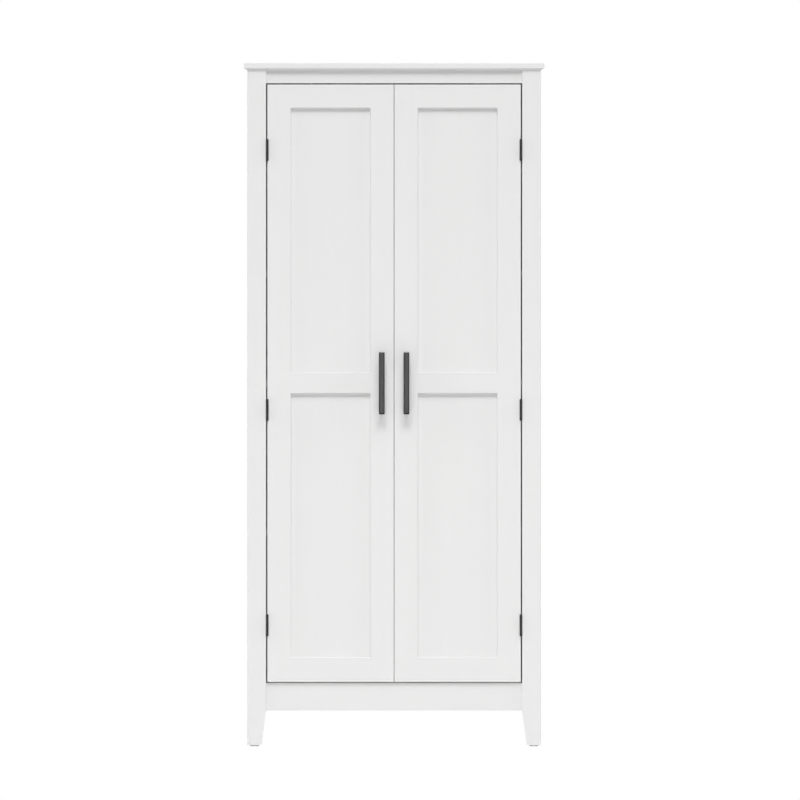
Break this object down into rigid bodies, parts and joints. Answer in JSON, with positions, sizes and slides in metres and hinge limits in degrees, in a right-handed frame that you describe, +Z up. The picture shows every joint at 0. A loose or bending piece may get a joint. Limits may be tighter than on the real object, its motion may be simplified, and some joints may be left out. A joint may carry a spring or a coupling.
{
  "type": "pantry cabinet",
  "caption": "Tall free-standing pantry cabinet with framed inset doors on proud butt hinges, bar handles, loose shelves inside and feet that taper on the inner side.",
  "frame": {"origin": "on the floor, under the middle of the bounding box (handles included)", "axes": "+Z up, +Y from the doors to the back, +X to the right seen from the front"},
  "size_m": [0.737, 0.423, 1.676],
  "materials": {
    "white_board": "white laminate on board, faint grain, satin",
    "hardboard": "brown hardboard, white on its inner face",
    "handle_metal": "dark gunmetal, satin",
    "black_metal": "black, satin",
    "zinc": "zinc plated",
    "steel": "plain bright steel",
    "glide_plastic": "matt nylon",
    "catch_plastic": "matt white",
    "beech": "raw beech"
  },
  "bodies": {
    "carcass": {"adjustable_shelf_1": "white_board", "adjustable_shelf_2": "white_board", "adjustable_shelf_3": "white_board", "back_panel_brads": "zinc", "back_panel_lower": "hardboard", "back_panel_upper": "hardboard", "bottom_panel": "white_board", "cam_bolts": "zinc", "cam_locks": "zinc", "catch_bodies": "catch_plastic", "catch_magnets": "steel", "catch_screws": "zinc", "fixed_shelf": "white_board", "front_apron": "white_board", "front_left_post": "white_board", "front_right_post": "white_board", "front_top_rail": "white_board", "left_hinge_frame_leaves": "black_metal", "left_hinge_frame_screws": "black_metal", "left_hinge_pins": "black_metal", "left_side_panel": "white_board", "leg_glides": "glide_plastic", "rear_bottom_rail": "white_board", "rear_left_post": "white_board", "rear_right_post": "white_board", "rear_top_rail": "white_board", "right_hinge_frame_leaves": "black_metal", "right_hinge_frame_screws": "black_metal", "right_hinge_pins": "black_metal", "right_side_panel": "white_board", "shelf_pins": "zinc", "top_board": "white_board", "wood_dowels": "beech"},
    "left_door": {"left_door_bottom_rail": "white_board", "left_door_hinge_stile": "white_board", "left_door_lower_panel": "white_board", "left_door_meeting_stile": "white_board", "left_door_mid_rail": "white_board", "left_door_top_rail": "white_board", "left_door_upper_panel": "white_board", "left_handle": "handle_metal", "left_handle_screws": "zinc", "left_hinge_door_leaves": "black_metal", "left_hinge_door_screws": "black_metal", "left_strike_plates": "steel", "left_strike_screws": "zinc"},
    "right_door": {"right_door_bottom_rail": "white_board", "right_door_hinge_stile": "white_board", "right_door_lower_panel": "white_board", "right_door_meeting_stile": "white_board", "right_door_mid_rail": "white_board", "right_door_top_rail": "white_board", "right_door_upper_panel": "white_board", "right_handle": "handle_metal", "right_handle_screws": "zinc", "right_hinge_door_leaves": "black_metal", "right_hinge_door_screws": "black_metal", "right_strike_plates": "steel", "right_strike_screws": "zinc"}
  },
  "joints": [
    {"name": "left_door_hinge", "type": "hinge", "parent": "carcass", "child": "left_door", "pos_m": [-0.311, -0.1828, 0.89], "axis": [0, 0, -1], "range_deg": [0, 180]},
    {"name": "right_door_hinge", "type": "hinge", "parent": "carcass", "child": "right_door", "pos_m": [0.311, -0.1828, 0.89], "axis": [0, 0, 1], "range_deg": [0, 180]}
  ]
}
